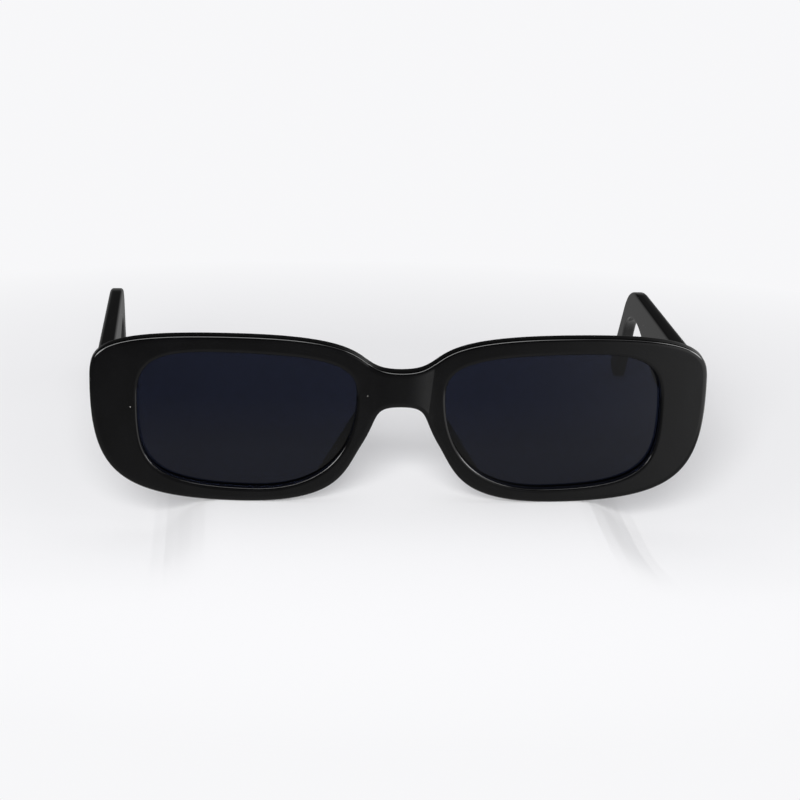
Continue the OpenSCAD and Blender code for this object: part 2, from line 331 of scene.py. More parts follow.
def front_outline(step=0.7):
    """The outline of the whole front, clockwise from the top of the bridge."""
    front = sizes("front")
    lens = sizes("lens")
    peak = lens_x() + FRONT_PEAK
    high = lens.height / 2 + front.rim_top
    low = -lens.height / 2 - front.rim_bottom
    middle, direction = flank()
    bridge = Vector((0, front.bridge_top))
    underside = Vector((0, front.bridge_top - front.bridge_height))
    top = Vector((peak, high))
    side = Vector((half_front(), front.side_z))
    bottom = Vector((peak, low))
    bridge_handle = Vector((12.5, 0))
    top_handle_end = Vector((2.4, high))
    bottom_handle = Vector((lens.width * 0.47, 0))
    flank_low_handle = 8.0 * direction
    flank_high_handle = 7.8 * direction
    underside_handle = Vector((6.8, 0))
    half = curve(bridge, bridge + bridge_handle, top_handle_end, top)
    half += corner(top, Vector((half_front(), high)), side, FRONT_CORNERS[0])
    half += corner(side, Vector((half_front(), low)), bottom, FRONT_CORNERS[1])
    half += curve(bottom, bottom - bottom_handle, middle - flank_low_handle, middle)
    half += curve(middle, middle + flank_high_handle, underside + underside_handle, underside)
    half.append(underside)
    other = [Vector((-p.x, p.y)) for p in reversed(half[1:-1])]
    return even(half + other, step)


def ear_line():
    """Start, end and direction of the ear piece's straight part."""
    temple = sizes("temple")
    along = Vector((math.cos(temple.ear_angle), -math.sin(temple.ear_angle)))
    end = Vector((temple.length - temple.ear_back, temple.top - temple.ear_drop))
    return end - temple.ear_length * along, end, along


def core_line():
    """The middle line of a temple's core wire, as distance behind the front and height."""
    temple = sizes("temple")
    start, end, along = ear_line()
    behind_leaf = 4
    before_bend = 20
    short_of_tip = 3
    first = Vector((sizes("hinge").leaf_length + behind_leaf, temple.top - temple.height / 2))
    drop = start.x * math.tan(temple.slope)
    bend = Vector((start.x - before_bend, temple.top - drop - temple.shaft / 2))
    points = curve(first, first + Vector((30, 0)), bend - Vector((22, 0)), bend)
    points += curve(bend, bend + Vector((12, -0.4)), start - 5 * along, start)
    return points + [start, end - short_of_tip * along]


def temple_outline(step=0.7):
    """The temple's outline as distance behind the front and height, clockwise."""
    temple = sizes("temple")
    start, end, along = ear_line()
    up = Vector((-along.y, along.x))
    rise = math.tan(temple.slope)
    slope = Vector((1, -rise)).normalized()
    bend_run = 24
    shaft_run = 28
    swell_run = 26
    bend_x = start.x - bend_run
    shaft_x = start.x - shaft_run
    bend = Vector((bend_x, temple.top - bend_x * rise))
    shaft = Vector((shaft_x, temple.top - shaft_x * rise - temple.shaft))
    lower_edge = temple.top - temple.height
    swell = Vector((temple.paddle, lower_edge - temple.swell))
    paddle = Vector((temple.paddle - swell_run, lower_edge))
    upper = start + up * temple.ear_height / 2
    lower = start - up * temple.ear_height / 2
    half_tip = temple.tip_height / 2

    def on_ear(far, high):
        """A point past the ear piece's straight end, and above its middle line."""
        return end + far * along + high * up

    points = straight(Vector((0, temple.top)), bend)
    points += curve(bend, bend + 13 * slope, upper - 9 * along, upper)
    first, sharp, last = TIP_UPPER_CORNER
    points += corner(on_ear(first, half_tip), on_ear(sharp, half_tip), on_ear(last, half_tip / 2))
    first, sharp, last = TIP_LOWER_CORNER
    points += corner(on_ear(first, -half_tip / 2), on_ear(sharp, -half_tip), on_ear(last, -half_tip))
    points += curve(lower, lower - 7 * along, shaft + Vector((13, 0)), shaft)
    points += curve(shaft, shaft - Vector((12, 0.4)), swell + Vector((7, 0)), swell)
    points += curve(swell, swell - Vector((7, 0)), paddle + Vector((12, 0)), paddle)
    points += straight(paddle, Vector((0, lower_edge)))
    points += straight(Vector((0, lower_edge)), Vector((0, temple.top)))
    return even(points, step)


def straight(a, b):
    """Two points of a straight run, as a list."""
    return [a, a.lerp(b, 0.5)]


def face_depth(x):
    """Depth of the front's face at this distance from the middle."""
    front = sizes("front")
    sweep = front.radius - math.sqrt(front.radius**2 - x * x)
    if abs(x) > front.bridge_radius / 2:
        return sweep
    bump = front.bridge_radius - front.bridge_proud - math.sqrt(front.bridge_radius**2 - x * x)
    softened = 0.03
    return 0.5 * (sweep + bump - math.sqrt((sweep - bump) ** 2 + softened**2))


def back_depth(x):
    """Depth of the front's back surface at this distance from the middle."""
    front = sizes("front")
    return front.radius - math.sqrt((front.radius - front.thickness) ** 2 - x * x)


def lens_centre():
    """Centre of the left lens's sphere, as distance from the middle and depth."""
    lens = sizes("lens")
    radius = sizes("front").radius
    turn = math.asin(lens_x() / radius)
    reach = lens.inset + lens.radius - radius
    return -reach * math.sin(turn), radius + reach * math.cos(turn)


def lens_depth(x, z, behind):
    """Depth of the left lens's surface: 0 behind is its face, its thickness its back."""
    centre_x, centre_y = lens_centre()
    r = sizes("lens").radius - behind
    return centre_y - math.sqrt(r * r - (x - centre_x) ** 2 - z * z)


def butt_depth():
    """Depth at which the temples' lengths start."""
    return back_depth(temple_in())


def temple_out():
    """Distance of the temple's outer face from the middle."""
    return half_front() - sizes("temple").inset


def temple_in():
    """Distance of the temple's inner face from the middle, at the hinge."""
    return temple_out() - sizes("temple").thickness


def hinge_axis():
    """The left hinge's axis in the worn frame, halfway up its barrel."""
    temple = sizes("temple")
    out = sizes("hinge").axis_out
    return Vector((temple_in() - out, butt_depth() + out, temple.top - temple.height / 2))


def stand_matrix():
    """Takes the worn frame to the standing one, as the packed model's left hinge says."""
    hinge = HINGES["fold_left"]
    axis = Vector(hinge["axis"])
    lean = math.atan2(-axis.y, axis.z)
    turn = Matrix.Rotation(lean, 4, "X")
    place = Vector(hinge["pos_m"]) / MM - turn @ hinge_axis()
    return Matrix.Translation(place) @ turn


# Meshes


def arc(steps=6):
    """Shares of a quarter turn, as (away from the flat, down the wall)."""
    quarter = math.pi / 2
    turns = [quarter * step / steps for step in range(steps + 1)]
    return [(1 - math.sin(turn), 1 - math.cos(turn)) for turn in turns]


# Width of the flat ring that keeps a rounded edge crisp
SUPPORT = 0.25


def edge_profile(near_round, far_round, support):
    """Rings round an edge as (inset, from the near side, from the far side)."""
    rings = [(near_round + support, 0.0, None)]
    rings += [(near_round * inset, near_round * down, None) for inset, down in arc()]
    rings += [(far_round * inset, None, far_round * down) for inset, down in reversed(arc())]
    rings.append((far_round + support, None, 0.0))
    return rings


class Plate:
    """A plate with rounded edges between two surfaces, as a closed mesh.

    near and far give each surface's depth at (u, v), and place turns
    (u, v, depth) into a point of the worn frame.
    """

    def __init__(self, near, far, place):
        self.near = near
        self.far = far
        self.place = place
        self.vertices = []
        self.faces = []
        self.rims = []

    def ring(self, points, depths):
        """Adds one ring of vertices and returns their numbers."""
        first = len(self.vertices)
        for point, depth in zip(points, depths):
            self.vertices.append(self.place(point.x, point.y, depth))
        return list(range(first, len(self.vertices)))

    def band(self, a, b):
        """Faces between two rings of equal length."""
        for i in range(len(a)):
            k = (i + 1) % len(a)
            self.faces.append((a[i], a[k], b[k], b[i]))

    def loop(self, outline, profile, inwards=1):
        """Adds the wall of one outline. inwards is 1 at the outside and -1 round a hole."""
        normals = outward(outline)
        previous = None
        for points, depths in profile(outline, normals):
            numbers = self.ring(points, depths)
            if previous is None:
                first_ring = (points, numbers)
            elif inwards > 0:
                self.band(numbers, previous)
            else:
                self.band(previous, numbers)
            previous = numbers
        self.rims.append((first_ring, (points, numbers)))

    def rounded(self, near_round, far_round, limit=None, inwards=1, support=SUPPORT):
        """A plain rounded profile for loop(). limit keeps inset points in square corners."""

        def rows(outline, normals):
            for inset, from_near, from_far in edge_profile(near_round, far_round, support):
                points = shifted(outline, normals, -inset * inwards)
                if limit:
                    points = [limit(p, inset) for p in points]
                if from_far is None:
                    depths = [self.near(p.x, p.y) + from_near for p in points]
                else:
                    depths = [self.far(p.x, p.y) - from_far for p in points]
                yield points, depths

        return rows

    def fill(self, spacing):
        """Closes the near and far sides between all the rims."""
        for side, surface in ((0, self.near), (1, self.far)):
            loops = [rim[side] for rim in self.rims]
            self.fill_side(loops, surface, spacing, near=side == 0)

    def fill_side(self, loops, surface, spacing, near):
        """Closes one side with an even net of triangles."""
        flat = []
        numbers = []
        edges = []
        for points, ring in loops:
            first = len(flat)
            flat += list(points)
            numbers += ring
            edges += [(first + i, first + (i + 1) % len(ring)) for i in range(len(ring))]
        outlines = [points for points, ring in loops]
        for point in grid_inside(outlines, spacing):
            flat.append(point)
            numbers.append(len(self.vertices))
            self.vertices.append(self.place(point.x, point.y, surface(point.x, point.y)))
        verts, _, faces, origins, _, _ = delaunay_2d_cdt(flat, edges, [], 1, 1e-4)
        back = []
        for point, origin in zip(verts, origins):
            if origin:
                back.append(numbers[origin[0]])
                continue
            back.append(len(self.vertices))
            self.vertices.append(self.place(point.x, point.y, surface(point.x, point.y)))
        for face in faces:
            centre = sum((verts[i] for i in face), Vector((0, 0))) / len(face)
            if any(inside(centre, hole) for hole in outlines[1:]):
                continue
            area = (verts[face[1]] - verts[face[0]]).cross(verts[face[2]] - verts[face[0]])
            face = [back[i] for i in face]
            if (area > 0) != near:
                face.reverse()
            self.faces.append(tuple(face))

    def piece(self, name):
        """The finished piece, still in millimetres and in the frame of place."""
        return solid_piece(name, self.vertices, self.faces)


def upright(x, z, depth):
    """A point of the worn frame."""
    return (x, depth, z)


def flat_plate(thickness, place=upright):
    """A plate of even thickness."""
    return Plate(lambda u, v: 0.0, lambda u, v: thickness, place)


def grid_inside(outlines, spacing):
    """Grid points well inside the first outline and outside the others."""
    outer = outlines[0]
    low_u = min(p.x for p in outer)
    high_u = max(p.x for p in outer)
    low_v = min(p.y for p in outer)
    high_v = max(p.y for p in outer)
    clear = spacing / 2
    near_points = Nearby([p for outline in outlines for p in outline], spacing)
    found = []
    rows = math.ceil((high_v - low_v) / spacing)
    columns = math.ceil((high_u - low_u) / spacing)
    for row in range(1, rows):
        for column in range(1, columns):
            across = column - 0.25 + 0.5 * (row % 2)
            point = Vector((low_u + across * spacing, low_v + row * spacing))
            if near_points.closer(point, clear) or not inside(point, outer):
                continue
            if not any(inside(point, hole) for hole in outlines[1:]):
                found.append(point)
    return found


class Nearby:
    """Finds out whether any of many points is near a place."""

    def __init__(self, points, cell):
        self.cell = cell
        self.cells = {}
        for point in points:
            self.cells.setdefault(self.key(point), []).append(point)

    def key(self, point):
        """The cell that a point lies in."""
        return (math.floor(point.x / self.cell), math.floor(point.y / self.cell))

    def closer(self, place, distance):
        """Whether any point is closer to a place than a distance of up to one cell."""
        column, row = self.key(place)
        for i in (-1, 0, 1):
            for k in (-1, 0, 1):
                for point in self.cells.get((column + i, row + k), ()):
                    if (point - place).length < distance:
                        return True
        return False


def inside(point, outline):
    """Whether a point lies inside a closed outline."""
    x, y = point
    hit = False
    previous = outline[-1]
    for current in outline:
        if (current.y > y) != (previous.y > y):
            share = (y - current.y) / (previous.y - current.y)
            if x < current.x + share * (previous.x - current.x):
                hit = not hit
        previous = current
    return hit


def stand_up(piece, side=LEFT, place=Matrix()):
    """Takes a piece from its own millimetres to where it stands, in metres."""
    flip = Matrix.Diagonal((side, 1, 1, 1))
    piece.data.transform(Matrix.Scale(MM, 4) @ stand_matrix() @ flip @ place)
    if side == RIGHT:
        piece.data.flip_normals()
    return piece


def join(name, pieces):
    """One piece made of several."""
    whole = bmesh.new()
    for piece in pieces:
        whole.from_mesh(piece.data)
        bpy.data.objects.remove(piece)
    mesh = bpy.data.meshes.new(name)
    whole.to_mesh(mesh)
    whole.free()
    joined = bpy.data.objects.new(name, mesh)
    bpy.context.scene.collection.objects.link(joined)
    return joined


def merge_points(mesh, distance, turn_out=False):
    """Joins the points that lie together, and can turn the faces outwards."""
    merged = bmesh.new()
    merged.from_mesh(mesh)
    bmesh.ops.remove_doubles(merged, verts=merged.verts, dist=distance)
    if turn_out:
        bmesh.ops.recalc_face_normals(merged, faces=merged.faces)
    merged.to_mesh(mesh)
    merged.free()


def shade_smooth(mesh):
    """Smooth shading that keeps clear edges."""
    for polygon in mesh.polygons:
        polygon.use_smooth = True
    mesh.set_sharp_from_angle(angle=SHARP_EDGE)


def solid_piece(name, vertices, faces):
    """A smooth-shaded mesh object in millimetres, with its faces pointing out."""
    mesh = bpy.data.meshes.new(name)
    mesh.from_pydata([tuple(v) for v in vertices], [], faces)
    merge_points(mesh, SAME_PLACE, turn_out=True)
    shade_smooth(mesh)
    piece = bpy.data.objects.new(name, mesh)
    bpy.context.scene.collection.objects.link(piece)
    return piece


def dress(piece, body, slot, material, *nodes):
    """Gives a finished piece its material and body, and hides the nodes it stands for. The slot is not
    used.
    """
    piece.data.materials.clear()
    piece.data.materials.append(material)
    if nodes:
        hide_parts(*nodes)
    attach(piece, body)
    return piece


# Node trees


class Shader:
    """Adds and links nodes in a material or a node group."""

    def __init__(self, tree):
        self.tree = tree
        self.nodes = tree.nodes

    def add(self, kind, inputs=None, **settings):
        """A new node with its settings, and values or links for its inputs."""
        node = self.nodes.new(kind)
        for name, value in settings.items():
            setattr(node, name, value)
        for name, value in (inputs or {}).items():
            self.feed(node.inputs[name], value)
        return node

    def feed(self, socket, value):
        """Links an input to a socket, or sets it to a constant."""
        if isinstance(value, bpy.types.NodeSocket):
            self.tree.links.new(value, socket)
        else:
            socket.default_value = value

    def maths(self, operation, a, b=0.0, clamp=False):
        node = self.add("ShaderNodeMath", operation=operation, use_clamp=clamp)
        self.feed(node.inputs[0], a)
        self.feed(node.inputs[1], b)
        return node.outputs[0]

    def times(self, a, b):
        return self.maths("MULTIPLY", a, b)

    def plus(self, a, b):
        return self.maths("ADD", a, b)

    def place(self):
        """The point on the object, in metres."""
        return self.add("ShaderNodeTexCoord").outputs["Object"]

    def noise(self, place, scale, detail, distortion=0.0):
        """A soft noise pattern. Its scale is in turns per metre."""
        values = {"Vector": place, "Scale": scale, "Detail": detail, "Distortion": distortion}
        return self.add("ShaderNodeTexNoise", values).outputs["Fac"]

    def bump(self, strength, distance, height, **more):
        """A normal from a height. The distance is in metres."""
        values = {"Strength": strength, "Distance": distance, "Height": height, **more}
        return self.add("ShaderNodeBump", values).outputs["Normal"]

    def mix(self, share, a, b):
        """The first colour at 0, the second at 1."""
        node = self.add("ShaderNodeMix", data_type="RGBA")
        self.feed(node.inputs["Factor"], share)
        self.feed(node.inputs["A"], a)
        self.feed(node.inputs["B"], b)
        return node.outputs["Result"]

    def spread(self, value, low, high, to_low=0.0, to_high=1.0):
        """A clamped straight ramp between two values."""
        values = {"Value": value, "From Min": low, "From Max": high, "To Min": to_low, "To Max": to_high}
        return self.add("ShaderNodeMapRange", values, clamp=True).outputs["Result"]


class Tree(Shader):
    """A geometry tree with named inputs, which ends in Realize Instances and Set Material."""

    def __init__(self, name, inputs):
        tree = bpy.data.node_groups.new(name, "GeometryNodeTree")
        kinds = {"Geometry": "Geometry", **inputs, "Material": "Material"}
        for label, kind in kinds.items():
            tree.interface.new_socket(label, in_out="INPUT", socket_type="NodeSocket" + kind)
        tree.interface.new_socket("Geometry", in_out="OUTPUT", socket_type="NodeSocketGeometry")
        super().__init__(tree)
        self.given = self.add("NodeGroupInput").outputs

    def finish(self, geometry):
        """Ends the tree with the geometry, made real and in its material."""
        single = self.add("GeometryNodeRealizeInstances", {"Geometry": geometry})
        done = self.add("GeometryNodeSetMaterial", {"Geometry": single.outputs["Geometry"],
                                                    "Material": self.given["Material"]})
        self.add("NodeGroupOutput", {"Geometry": done.outputs["Geometry"]})
        return self.tree


def run_tree(piece, tree, material, values):
    """Runs a geometry tree on a piece and keeps the result as a plain mesh."""
    modifier = piece.modifiers.new(tree.name, "NODES")
    modifier.node_group = tree
    given = {**values, "Material": material}
    for socket in tree.interface.items_tree:
        if socket.in_out == "INPUT" and socket.name in given:
            modifier[socket.identifier] = given[socket.name]
    finish_modifiers(piece)
    return piece


def bend_tree():
    """Bends a flat blank onto a sphere: what lies deeper in it ends up nearer the centre."""
    tree = Tree("lens_bend", {"Radius": "Float", "Centre X": "Float", "Centre Y": "Float"})
    place = tree.add("GeometryNodeInputPosition").outputs["Position"]
    x, y, z = tree.add("ShaderNodeSeparateXYZ", {"Vector": place}).outputs
    radius = tree.maths("SUBTRACT", tree.given["Radius"], y)
    across = tree.maths("SUBTRACT", x, tree.given["Centre X"])
    left = tree.times(radius, radius)
    left = tree.maths("SUBTRACT", left, tree.times(across, across))
    left = tree.maths("SUBTRACT", left, tree.times(z, z))
    depth = tree.maths("SUBTRACT", tree.given["Centre Y"], tree.maths("SQRT", left))
    moved = tree.add("ShaderNodeCombineXYZ", {"X": x, "Y": depth, "Z": z})
    bent = tree.add("GeometryNodeSetPosition", {"Geometry": tree.given["Geometry"],
                                                "Position": moved.outputs["Vector"]})
    return tree.finish(bent.outputs["Geometry"])


def row_tree():
    """Repeats a piece in an upright row."""
    tree = Tree("knuckle_row", {"Count": "Int", "Start": "Float", "Pitch": "Float"})
    start = tree.add("ShaderNodeCombineXYZ", {"Z": tree.given["Start"]}).outputs["Vector"]
    pitch = tree.add("ShaderNodeCombineXYZ", {"Z": tree.given["Pitch"]}).outputs["Vector"]
    row = tree.add("GeometryNodeMeshLine", {"Count": tree.given["Count"], "Start Location": start,
                                            "Offset": pitch})
    copies = tree.add("GeometryNodeInstanceOnPoints", {"Points": row.outputs["Mesh"],
                                                       "Instance": tree.given["Geometry"]})
    return tree.finish(copies.outputs["Instances"])


def ribbon_tree():
    """Draws a flat strip with rounded edges along a line."""
    tree = Tree("core_strip", {"Width": "Float", "Thickness": "Float", "Rounding": "Float"})
    line = tree.add("GeometryNodeMeshToCurve", {"Mesh": tree.given["Geometry"]})
    upright = tree.add("GeometryNodeSetCurveNormal", {"Curve": line.outputs["Curve"]}, mode="Z_UP")
    section = tree.add("GeometryNodeCurvePrimitiveQuadrilateral", {"Width": tree.given["Thickness"],
                                                                   "Height": tree.given["Width"]})
    soft = tree.add("GeometryNodeFilletCurve", {"Curve": section.outputs["Curve"], "Count": 4,
                                                "Radius": tree.given["Rounding"]}, mode="POLY")
    strip = tree.add("GeometryNodeCurveToMesh", {"Curve": upright.outputs["Curve"],
                                                 "Profile Curve": soft.outputs["Curve"], "Fill Caps": True})
    return tree.finish(strip.outputs["Mesh"])


def group_tree(name, inputs, outputs):
    """A shader node group with named value inputs and outputs."""
    tree = bpy.data.node_groups.new(name, "ShaderNodeTree")
    for label, default in inputs.items():
        socket = tree.interface.new_socket(label, in_out="INPUT", socket_type="NodeSocketFloat")
        socket.default_value = default
    for label in outputs:
        tree.interface.new_socket(label, in_out="OUTPUT", socket_type="NodeSocketFloat")
    return tree


def dust_group():
    """Scattered specks of dust, in Object coordinates. Amount is the share of cells with one."""
    if "dust_specks" in bpy.data.node_groups:
        return bpy.data.node_groups["dust_specks"]
    tree = group_tree("dust_specks", {"Per Metre": 240.0, "Amount": 0.3, "Size": 0.026}, ["Mask"])
    s = Shader(tree)
    given = s.add("NodeGroupInput").outputs
    place = s.place()
    cells = s.add("ShaderNodeTexVoronoi", {"Vector": place, "Scale": given["Per Metre"]})
    pick = s.add("ShaderNodeSeparateColor", {"Color": cells.outputs["Color"]})
    chosen = s.maths("LESS_THAN", pick.outputs["Red"], given["Amount"])
    radius = s.times(given["Size"], s.spread(pick.outputs["Green"], 0.0, 1.0, 0.4, 1.2))
    ragged = s.noise(place, scale=4000.0, detail=2.0)
    radius = s.times(radius, s.spread(ragged, 0.3, 0.7, 0.7, 1.3))
    within = s.maths("LESS_THAN", cells.outputs["Distance"], radius)
    s.add("NodeGroupOutput", {"Mask": s.times(chosen, within)})
    return tree


def scratch_group():
    """Hairline scratches and soft smears of handling, in Object coordinates."""
    if "handling_marks" in bpy.data.node_groups:
        return bpy.data.node_groups["handling_marks"]
    tree = group_tree("handling_marks", {"Per Metre": 60.0, "Fineness": 0.004}, ["Scratches", "Smears"])
    s = Shader(tree)
    given = s.add("NodeGroupInput").outputs
    place = s.place()
    scratches = 0.0
    for turn, shift in ((0.5, 1.0), (2.1, 5.0)):
        turned = s.add("ShaderNodeMapping", {"Vector": place, "Rotation": (turn, turn * 0.7, turn * 1.3),
                                             "Location": (shift, shift, shift), "Scale": (1.0, 0.25, 1.0)})
        contours = s.noise(turned.outputs["Vector"], scale=given["Per Metre"], detail=1.0, distortion=0.6)
        off = s.maths("ABSOLUTE", s.maths("SUBTRACT", contours, 0.5))
        scratches = s.maths("MAXIMUM", scratches, s.maths("LESS_THAN", off, given["Fineness"]))
    patches = s.noise(place, scale=45.0, detail=4.0)
    scratches = s.times(scratches, s.spread(patches, 0.5, 0.62))
    smears = s.noise(place, scale=70.0, detail=5.0, distortion=1.5)
    s.add("NodeGroupOutput", {"Scratches": scratches, "Smears": s.spread(smears, 0.35, 0.7)})
    return tree


def new_material(name):
    """A material with an empty node tree, and its Principled shader."""
    material = bpy.data.materials.new(name)
    material.use_nodes = True
    material.node_tree.nodes.clear()
    s = Shader(material.node_tree)
    shader = s.add("ShaderNodeBsdfPrincipled")
    s.add("ShaderNodeOutputMaterial", {"Surface": shader.outputs["BSDF"]})
    return material, s, shader


def opaque(colour_value):
    """A colour with full opacity, as a socket takes it."""
    return (*colour_value, 1.0)


def crown_group():
    """The rounded crown of the bridge between its two creases, as a height in metres."""
    tree = group_tree("bridge_crown", {"Half Width": 0.0065, "Spread": 0.11, "Height": 0.0005}, ["Height"])
    s = Shader(tree)
    given = s.add("NodeGroupInput").outputs
    x, _, z = s.add("ShaderNodeSeparateXYZ", {"Vector": s.place()}).outputs
    bridge_z = 0.023
    wider = s.times(s.maths("SUBTRACT", z, bridge_z), given["Spread"])
    share = s.maths("DIVIDE", x, s.plus(given["Half Width"], wider))
    crown = s.maths("SUBTRACT", 1.0, s.times(share, share), clamp=True)
    s.add("NodeGroupOutput", {"Height": s.times(crown, given["Height"])})
    return tree


def place_groups(s, dust_share):
    """Places dust and handling marks in a material, as the dust's mask and the marks' node."""
    dust = s.add("ShaderNodeGroup", {"Amount": dust_share}, node_tree=dust_group())
    marks = s.add("ShaderNodeGroup", node_tree=scratch_group())
    return dust.outputs["Mask"], marks


def acetate(name, smear_rough=0.02, dust_share=0.14, shade=1.0, crowned=False):
    """Polished black acetate with dust, hairlines and soft smears."""
    looks = sizes("looks")
    haze = 2.0
    scratch_rough = 0.12
    dust_rough = 0.5
    dust_lift = 3.0
    material, s, shader = new_material(name)
    dust, marks = place_groups(s, dust_share)
    smears = marks.outputs["Smears"]
    black = Vector(looks.acetate) * shade
    base = s.mix(smears, opaque(black), opaque(black * haze))
    s.feed(shader.inputs["Base Color"], s.mix(dust, base, opaque(looks.dust)))
    rough = s.plus(s.times(smears, smear_rough), looks.acetate_rough)
    rough = s.plus(rough, s.times(marks.outputs["Scratches"], scratch_rough))
    s.feed(shader.inputs["Roughness"], s.plus(rough, s.times(dust, dust_rough)))
    shader.inputs["IOR"].default_value = 1.49
    ripple = s.noise(s.place(), scale=260.0, detail=1.0)
    normal = s.bump(0.03, 0.00004, s.plus(ripple, s.times(dust, dust_lift)))
    if crowned:
        crown = s.add("ShaderNodeGroup", node_tree=crown_group())
        normal = s.bump(1.0, 1.0, crown.outputs["Height"], Normal=normal)
    s.feed(shader.inputs["Normal"], normal)
    return material


def tinted_glass(name):
    """Dark smoke lens: the tint is what light keeps on its way through."""
    looks = sizes("looks")
    smear_rough = 0.015
    dust_rough = 0.4
    material, s, shader = new_material(name)
    dust, marks = place_groups(s, 0.10)
    s.feed(marks.inputs["Fineness"], 0.002)
    s.feed(shader.inputs["Base Color"], s.mix(dust, opaque(looks.tint), opaque(looks.dust)))
    rough = s.times(marks.outputs["Smears"], smear_rough)
    s.feed(shader.inputs["Roughness"], s.plus(rough, s.times(dust, dust_rough)))
    shader.inputs["Transmission Weight"].default_value = 1.0
    shader.inputs["IOR"].default_value = 1.5
    return material


def steel(name, grain=(1.0, 1.0, 12.0), rough=0.28):
    """Satin hinge metal with a fine grain."""
    bright = sizes("looks").steel
    dull = Vector(bright) * 0.72
    material, s, shader = new_material(name)
    place = s.place()
    drawn = s.add("ShaderNodeMapping", {"Vector": place, "Scale": grain}).outputs["Vector"]
    fine = s.noise(drawn, scale=900.0, detail=4.0)
    stain = s.spread(s.noise(place, scale=500.0, detail=3.0), 0.4, 0.65)
    s.feed(shader.inputs["Base Color"], s.mix(stain, opaque(bright), opaque(dull)))
    s.feed(shader.inputs["Roughness"], s.spread(fine, 0.3, 0.7, rough - 0.08, rough + 0.12))
    shader.inputs["Metallic"].default_value = 1.0
    s.feed(shader.inputs["Normal"], s.bump(0.2, 0.00002, fine))
    return material


# Pieces


class GLASSES_OT_front(bpy.types.Operator):
    """Make the front: both rims, the bridge and the hinge corners."""

    bl_idname = "glasses.front"
    bl_label = "Front"

    def execute(self, context):
        front = sizes("front")
        opening = opening_outline()
        mirrored = [Vector((-p.x, p.y)) for p in reversed(opening)]
        plate = Plate(lambda x, z: face_depth(x), lambda x, z: back_depth(x), upright)
        plate.loop(front_outline(), plate.rounded(front.face_round, front.back_round))
        plate.loop(opening, rim_rows(plate), inwards=-1)
        plate.loop(mirrored, rim_rows(plate), inwards=-1)
        plate.fill(spacing=1.6)
        piece = stand_up(plate.piece("front_shell"))
        dress(piece, "front_body", "acetate", acetate("polished_black", crowned=True), "front")
        return {"FINISHED"}


def rim_rows(plate):
    """Rows of a lens opening's wall, with the groove that holds the lens, for loop()."""
    lens = sizes("lens")
    front = sizes("front")
    slack = lens.clearance

    def rows(outline, normals):
        def moved(by):
            return [p + by * n for p, n in zip(outline, normals)]

        def groove_wall(points, behind, gap):
            return points, [lens_depth(abs(p.x), p.y, behind) + gap for p in points]

        rounding = front.rim_round
        for inset, down in [(1 + SUPPORT / rounding, 0.0)] + arc():
            points = moved(rounding * inset)
            yield points, [plate.near(p.x, p.y) + rounding * down for p in points]
        edge = moved(0)
        deep = moved(lens.groove + slack)
        yield groove_wall(edge, 0, -slack)
        yield groove_wall(deep, 0, -slack)
        yield groove_wall(deep, lens.thickness, slack)
        yield groove_wall(edge, lens.thickness, slack)
        rounding = front.rim_back_round
        for inset, down in list(reversed(arc())) + [(1 + SUPPORT / rounding, 0.0)]:
            points = moved(rounding * inset)
            yield points, [plate.far(p.x, p.y) - rounding * down for p in points]

    return rows


class GLASSES_OT_lenses(bpy.types.Operator):
    """Make the two dark lenses."""

    bl_idname = "glasses.lenses"
    bl_label = "Lenses"

    def execute(self, context):
        lens = sizes("lens")
        opening = opening_outline()
        grown = [p + lens.groove * n for p, n in zip(opening, outward(opening))]
        glass = tinted_glass("smoke_lens")
        bend = bend_tree()
        centre_x, centre_y = lens_centre()
        sphere = {"Radius": lens.radius, "Centre X": centre_x, "Centre Y": centre_y}
        for name, side in SIDES.items():
            plate = flat_plate(lens.thickness)
            plate.loop(grown, plate.rounded(lens.edge, lens.edge))
            plate.fill(spacing=1.5)
            piece = run_tree(plate.piece("lens_blank_" + name), bend, glass, sphere)
            dress(stand_up(piece, side), "front_body", "lens", glass, "lens_" + name)
        return {"FINISHED"}


class GLASSES_OT_temples(bpy.types.Operator):
    """Make the two temples, with their taper and bent ear pieces."""

    bl_idname = "glasses.temples"
    bl_label = "Temples"

    def execute(self, context):
        temple = sizes("temple")
        out = temple_out()
        start = butt_depth()
        taper = (temple.thickness - temple.tip_thickness) / temple.length
        blend_run = 6.0

        def place(s, h, depth):
            """Follows the front's back at the hinge and runs straight further on."""
            x = out - depth
            butt = back_depth(x) + temple.butt_gap
            share = min(max(s / blend_run, 0.0), 1.0)
            return (x, butt * (1 - share) + start * share + s, h)

        rise = math.tan(temple.slope)

        def square_end(point, inset):
            """Keeps the inset rings square where the temple meets the front."""
            s = max(point.x, inset)
            if s > temple.paddle / 2:
                return point
            high = temple.top - s * rise - inset
            low = temple.top - temple.height + inset
            return Vector((s, min(max(point.y, low), high)))

        material = acetate("polished_black_temples", dust_share=0.1)
        for name, side in SIDES.items():
            plate = Plate(lambda s, h: 0.0, lambda s, h: temple.thickness - taper * max(s, 0.0), place)
            edges = plate.rounded(temple.outer_round, temple.inner_round, square_end)
            plate.loop(temple_outline(), edges)
            plate.fill(spacing=1.8)
            piece = stand_up(plate.piece("temple_arm_" + name), side)
            dress(piece, name + "_arm", "temple_acetate", material, "temple_" + name)
        return {"FINISHED"}


class GLASSES_OT_pads(bpy.types.Operator):
    """Make the two bonded nose pads."""

    bl_idname = "glasses.pads"
    bl_label = "Nose pads"

    def execute(self, context):
        material = acetate("polished_black_pads", smear_rough=0.12, dust_share=0.2, shade=1.4)
        for name in SIDES:
            piece = copied(frame["nodes"]["nose_pad_" + name], "pad_" + name)
            smooth_remesh(piece, voxel=0.25 * MM, rounds=14)
            dress(piece, "front_body", "pad", material, "nose_pad_" + name)
        return {"FINISHED"}


